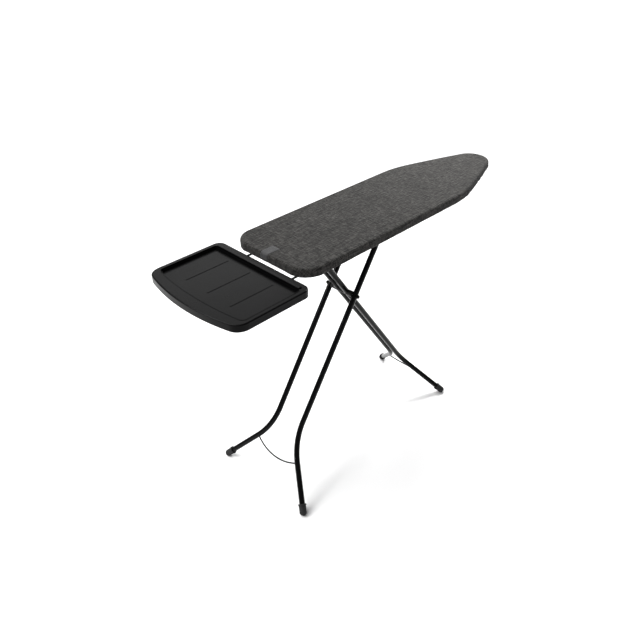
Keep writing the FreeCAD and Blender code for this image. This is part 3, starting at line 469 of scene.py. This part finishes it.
def edge_section(shape, skirt):
    """Section of the cover at the rim: top round, skirt, lower round, turned-under strip and rolled hem."""
    rounding, tuck, turn_under, casing = shape.rounding, shape.tuck, shape.turn_under, shape.casing
    section = quarter_round(rounding)
    drop = skirt - rounding - tuck
    for step in range(1, 6):
        section.append((rounding, -rounding - drop * step / 5))
    for step in (1, 2, 3):
        angle = math.pi / 2 * step / 3
        section.append((rounding - tuck * (1 - math.cos(angle)), -skirt + tuck * (1 - math.sin(angle))))
    for step in range(1, 5):
        section.append((rounding - tuck - (turn_under - tuck) * step / 4, -skirt))
    hem = rounding - turn_under
    section.append((hem - 0.0008, -skirt + HEM_STEP))
    section.append((hem, -skirt + 2 * HEM_STEP))
    section.append((hem + casing, -skirt + 2 * HEM_STEP))
    return section


def cloth_uv(bm, flat):
    """Lay the cloth's UV map flat, in metres, so that the weave follows it round the edge."""
    layer = bm.loops.layers.uv.new("cloth")
    for face in bm.faces:
        for loop in face.loops:
            place = flat.get(loop.vert, loop.vert.co)
            loop[layer].uv = (place.x, place.y)


# ---- operators ----------------------------------------------------------------------------------
class MakeCover(bpy.types.Operator):
    """Fabric cover drawn over the pad and turned under the rim"""

    bl_idname = "ironing_board.cover"
    bl_label = "Cover"

    def execute(self, context):
        shape = settings().cover
        look = settings().fabric
        bm = bmesh.new()
        board_top(bm, shape.rounding, COVER_HIGH.z, 15)
        flat = {v: v.co.copy() for v in bm.verts}
        roots = {}
        skirt = COVER_HIGH.z - COVER_LOW.z
        swept_edge(bm, edge_section(shape, skirt), flat, roots)
        cloth_uv(bm, flat)
        settle_top(bm, roots)
        gather_hem(roots, shape, skirt)
        material = woven_melange("melange_cover_cloth", look.dark, look.light, look.yarn)
        cover = place_piece("ironing_cover", bm, "board", material)
        thicken(cover, shape.thickness, -1)
        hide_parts("cover")
        return {"FINISHED"}


def settle_top(bm, roots):
    """Faint unevenness of the pad that shows through the stretched top."""
    for vertex in bm.verts:
        if vertex not in roots:
            place = vertex.co
            edge = min(1.0, max(0.0, (COVER_HIGH.y - abs(place.y)) / 0.05))
            vertex.co.z += (noise.noise(place * 9) - 0.55) * 0.0007 * edge


def fold_share(place):
    """How strongly the elastic gathers the cloth: most at the square end's corners and along the nose."""
    board = settings().board
    along = max(0.0, place.x - COVER_LOW.x) / (board.corner * 1.5)
    inward = max(0.0, COVER_HIGH.y - abs(place.y)) / (board.corner * 1.5)
    at_corner = max(0.0, 1.0 - math.hypot(along, inward) * 0.75)
    taper = (place.x - COVER_LOW.x - board.straight) / 0.12
    return 0.22 + 0.78 * max(at_corner, min(1.0, max(0.0, taper)) * 0.8)


def gather_hem(roots, shape, skirt):
    """Folds that the elastic draws in the skirt, growing downwards, and a hem that wanders a little."""
    begin = shape.rounding * 0.8
    for vertex, (place, normal, travelled) in roots.items():
        down = min(1.0, max(0.0, (travelled - begin) / (skirt - begin)))
        share = fold_share(place)
        wave = noise.noise(place * 42) + 0.55 * noise.noise(place * 95 + UP * 3)
        hem = noise.noise(place * 17 + UP * 7)
        vertex.co += normal * wave * shape.gather * share * down * down
        vertex.co += UP * (hem - 0.8) * shape.sag * share * down


class MakeHem(bpy.types.Operator):
    """Elastic tape inside the rolled hem, and the row of stitches that closes it"""

    bl_idname = "ironing_board.hem"
    bl_label = "Hem"

    def execute(self, context):
        shape = settings().cover
        skirt = COVER_HIGH.z - COVER_LOW.z
        hem = shape.rounding - shape.turn_under
        bm = bmesh.new()
        board_top(bm, shape.rounding, COVER_HIGH.z, 1)
        top = list(bm.verts)
        roots = {}
        inner, outer = hem + 0.0008, hem + shape.casing - 0.0022
        height = HEM_STEP - skirt
        swept_edge(bm, [(inner, height), (outer, height)], {}, roots)
        bmesh.ops.delete(bm, geom=top, context="VERTS")
        gather_hem({v: (place, normal, 1.0) for v, (place, normal, _) in roots.items()}, shape, skirt)
        self.stitch(bm, roots, outer)
        bmesh.ops.recalc_face_normals(bm, faces=bm.faces)
        tape = place_piece("hem_elastic_tape", bm, "board", FINISHES["elastic"]())
        thicken(tape, TAPE_THICKNESS, 0)
        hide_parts("cover_hem_elastic")
        return {"FINISHED"}

    def stitch(self, tape, roots, outer):
        """Thread on the underside of the hem, one stitch for each step of the tape's outer edge."""
        bm = bmesh.new()
        for vertex in tape.verts:
            place, normal, _ = roots[vertex]
            if (vertex.co - place).dot(normal) > outer - 0.004:
                add_stitch(bm, vertex.co + normal * 0.001 - UP * 0.0015, normal.cross(UP))
        thread = moulded_plastic("hem_thread", (0.03, 0.03, 0.03), 0.7, 0.2, 3000.0)
        place_piece("hem_stitches", bm, "board", thread)


class MakeLabel(bpy.types.Operator):
    """Plain woven patch folded over the square end, with its stitches"""

    bl_idname = "ironing_board.label"
    bl_label = "Label"

    def execute(self, context):
        rounding = settings().cover.rounding
        width = LABEL_HIGH.y - LABEL_LOW.y
        middle = (LABEL_HIGH.y + LABEL_LOW.y) / 2
        bm = bmesh.new()
        corner = bm.verts.new((LABEL_HIGH.x, LABEL_LOW.y, COVER_HIGH.z + PATCH_LIFT))
        drawn(bm, corner, Vector((0, width, 0)), 0.006)
        edges = list(bm.edges)
        reach = LABEL_HIGH.x - COVER_LOW.x - rounding
        section = [(-reach * s / 6, 0) for s in range(1, 7)]
        section += [(-reach - out, rise) for out, rise in quarter_round(rounding + PATCH_LIFT)]
        side, top = section[-1]
        section += [(side, top - PATCH_DROP * s / 3) for s in (1, 2, 3)]
        last = Vector((0, 0))
        for out, rise in section:
            made = bmesh.ops.extrude_edge_only(bm, edges=edges)
            fresh = [g for g in made["geom"] if isinstance(g, bmesh.types.BMVert)]
            edges = [g for g in made["geom"] if isinstance(g, bmesh.types.BMEdge)]
            bmesh.ops.translate(bm, verts=fresh, vec=(out - last.x, 0, rise - last.y))
            last = Vector((out, rise))
        face_upwards(bm)
        patch = place_piece("plain_woven_patch", bm, "board", FINISHES["label_fabric"]())
        thicken(patch, PATCH_THICKNESS, 0)
        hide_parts("label")
        self.stitch(width, middle)
        return {"FINISHED"}

    def stitch(self, width, middle):
        """Thread along the patch's inner end and its two sides."""
        bm = bmesh.new()
        top = COVER_HIGH.z + SEAM_LIFT
        half = width / 2 - SEAM_INSET
        end = LABEL_HIGH.x - SEAM_INSET
        for number in range(9):
            add_stitch(bm, Vector((end, middle - half + half * number / 4, top)), ACROSS)
        for number in range(1, 9):
            for side in (-half, half):
                add_stitch(bm, Vector((end - SEAM_PITCH * number, middle + side, top)), ALONG)
        thread = moulded_plastic("grey_thread", (0.05, 0.05, 0.05), 0.7, 0.2, 3000.0)
        place_piece("patch_stitches", bm, "board", thread)


def add_stitch(bm, place, along):
    """One short rounded stitch."""
    turn = along.to_track_quat("X", "Z").to_matrix().to_4x4()
    size = Matrix.Diagonal((*STITCH_HALF, 1))
    bmesh.ops.create_icosphere(bm, subdivisions=1, radius=1.0, matrix=Matrix.Translation(place) @ turn @ size)


class MakePad(bpy.types.Operator):
    """Foam pad between the cover and the vented deck"""

    bl_idname = "ironing_board.pad"
    bl_label = "Pad"

    def execute(self, context):
        low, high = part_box("foam_pad")
        bm = bmesh.new()
        board_top(bm, 0.012, high.z - 0.0014, 8)
        thickness = high.z - low.z
        section = [(0.003, -0.0006), (0.006, -0.0024), (0.0078, -0.005), (0.0078, -thickness + 0.0034),
                   (0.006, -thickness + 0.0020), (0.0, -thickness + 0.0018)]
        swept_edge(bm, section, {}, {})
        bmesh.ops.holes_fill(bm, edges=[e for e in bm.edges if e.is_boundary], sides=0)
        material = open_foam("felted_foam", (0.62, 0.6, 0.54))
        pad = place_piece("foam_pad_crowned", bm, "board", material)
        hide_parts("foam_pad")
        return {"FINISHED"}


FINISHES = {
    "coated_steel": lambda: powder_coat("satin_black_steel", (0.007, 0.007, 0.0075), 0.4, 0.2),
    "powder_coated_tube": lambda: powder_coat("gloss_black_tube", (0.0012, 0.0012, 0.0013), 0.22, 0.11),
    "black_steel": lambda: powder_coat("black_wire_coat", (0.003, 0.003, 0.0032), 0.3, 0.14),
    "zinc_steel": lambda: plated_steel("zinc_plate", (0.5, 0.5, 0.52), 0.32),
    "spring_steel": lambda: plated_steel("spring_wire", (0.42, 0.42, 0.43), 0.25),
    "black_nylon": lambda: moulded_plastic("black_nylon", (0.005, 0.005, 0.005), 0.45, 0.18),
    "foot_rubber": lambda: rubber("grey_foot_rubber", (0.014, 0.014, 0.0145)),
    "tray_plastic": lambda: moulded_plastic("satin_tray_plastic", (0.0016, 0.0016, 0.0017), 0.25, 0.07,
                                            1100.0),
    "elastic": lambda: ribbed_tape("elastic_tape", (0.012, 0.012, 0.012), 0.0012, 1.3),
    "label_fabric": lambda: ribbed_tape("label_weave", (0.038, 0.038, 0.039), 0.0006, 1.5),
    "ironing_cover": lambda: rubber("cover_spare", (0.03, 0.03, 0.03)),
    "foam": lambda: open_foam("foam_spare", (0.5, 0.5, 0.45)),
}


class FinishFrame(bpy.types.Operator):
    """Paint, plating, rubber and plastic on the frame's own parts"""

    bl_idname = "ironing_board.finish_frame"
    bl_label = "Frame finishes"

    def execute(self, context):
        slots = {row["node"]: row["material_slot"] for row in frame["record"]["subparts"]}
        made = {}
        for name, node in frame["nodes"].items():
            slot = slots[name]
            if slot not in made:
                made[slot] = FINISHES[slot]()
            node.data.materials.clear()
            node.data.materials.append(made[slot])
        return {"FINISHED"}


# name, place, aim, width of the square and power in watts
SOFTBOXES = (
    ("strip_softbox", (-2.2, 0.9, 1.9), (0.0, 0, 0.5), 0.6, 17.0),
    ("back_softbox", (0.9, 2.3, 2.6), (-0.6, 0, 0.97), 1.3, 8.0),
    ("nose_softbox", (1.35, 0.5, 2.0), (0.75, 0, 1.0), 0.6, 40.0),
)


class MakeStudio(bpy.types.Operator):
    """Pale floor, soft lights and camera"""

    bl_idname = "ironing_board.studio"
    bl_label = "Studio"

    def execute(self, context):
        look = settings().studio
        scene = context.scene
        scene.view_settings.view_transform = "Standard"
        self.add_floor(look)
        self.add_world(scene, look)
        self.add_bank(look)
        for softbox in SOFTBOXES:
            self.add_light(*softbox)
        self.add_camera(scene, look)
        return {"FINISHED"}

    def add_floor(self, look):
        bm = bmesh.new()
        bmesh.ops.create_grid(bm, x_segments=1, y_segments=1, size=30)
        mesh = bpy.data.meshes.new("studio_floor")
        bm.to_mesh(mesh)
        bm.free()
        floor = bpy.data.objects.new("studio_floor", mesh)
        bpy.context.scene.collection.objects.link(floor)
        shader = Shader("studio_floor_paint")
        tint = shader.noise(shader.coordinates("Object"), 0.6, 2.0)
        base = tuple(look.floor)
        shader.link(shader.ramp(tint, [(0.3, base), (0.7, [c * 1.02 for c in base])]), "Base Color")
        shader.set(roughness=0.9, specular_ior_level=0.1)
        mesh.materials.append(shader.material)

    def add_world(self, scene, look):
        world = bpy.data.worlds.new("studio_world")
        scene.world = world
        world.use_nodes = True
        background = world.node_tree.nodes["Background"]
        background.inputs["Color"].default_value = (1, 1, 1, 1)
        background.inputs["Strength"].default_value = look.sky

    def add_bank(self, look):
        data = bpy.data.lights.new("overhead_bank", "SUN")
        data.energy = look.bank
        data.angle = look.spread
        lamp = bpy.data.objects.new("overhead_bank", data)
        bpy.context.scene.collection.objects.link(lamp)
        lamp.rotation_euler = Vector((0.25, -0.45, -1.0)).to_track_quat("-Z", "Y").to_euler()

    def add_light(self, name, place, aim, size, power):
        data = bpy.data.lights.new(name, "AREA")
        data.shape = "SQUARE"
        data.size = size
        data.energy = power
        lamp = bpy.data.objects.new(name, data)
        bpy.context.scene.collection.objects.link(lamp)
        lamp.location = place
        lamp.rotation_euler = (Vector(aim) - Vector(place)).to_track_quat("-Z", "Y").to_euler()

    def add_camera(self, scene, look):
        data = bpy.data.cameras.new("studio_camera")
        camera = bpy.data.objects.new("studio_camera", data)
        scene.collection.objects.link(camera)
        data.lens = look.lens
        data.sensor_width = 36.0
        data.shift_x, data.shift_y = look.shift
        back = Vector((math.sin(look.azimuth) * math.cos(look.elevation),
                       -math.cos(look.azimuth) * math.cos(look.elevation), math.sin(look.elevation)))
        camera.location = Vector(look.aim) + back * look.distance
        camera.rotation_euler = (-back).to_track_quat("-Z", "Y").to_euler()
        scene.camera = camera


OPERATORS = (FinishFrame, MakeCover, MakePad, MakeHem, MakeLabel, MakeStudio)


class IroningBoardPanel(bpy.types.Panel):
    """Buttons that make each piece of the ironing board"""

    bl_idname = "VIEW3D_PT_ironing_board"
    bl_label = "Ironing Board"
    bl_space_type = "VIEW_3D"
    bl_region_type = "UI"
    bl_category = "Ironing Board"

    def draw(self, context):
        for operator in OPERATORS:
            self.layout.operator(operator.bl_idname)


CLASSES = (BoardShape, CoverShape, FabricLook, StudioLook, BoardSettings, *OPERATORS, IroningBoardPanel)


def register():
    for cls in CLASSES:
        bpy.utils.register_class(cls)
    bpy.types.Scene.ironing_board = PointerProperty(type=BoardSettings)


def unregister():
    del bpy.types.Scene.ironing_board
    for cls in reversed(CLASSES):
        bpy.utils.unregister_class(cls)


def main():
    register()
    for operator in OPERATORS:
        category, name = operator.bl_idname.split(".")
        getattr(getattr(bpy.ops, category), name)()


if __name__ == "__main__":
    main()
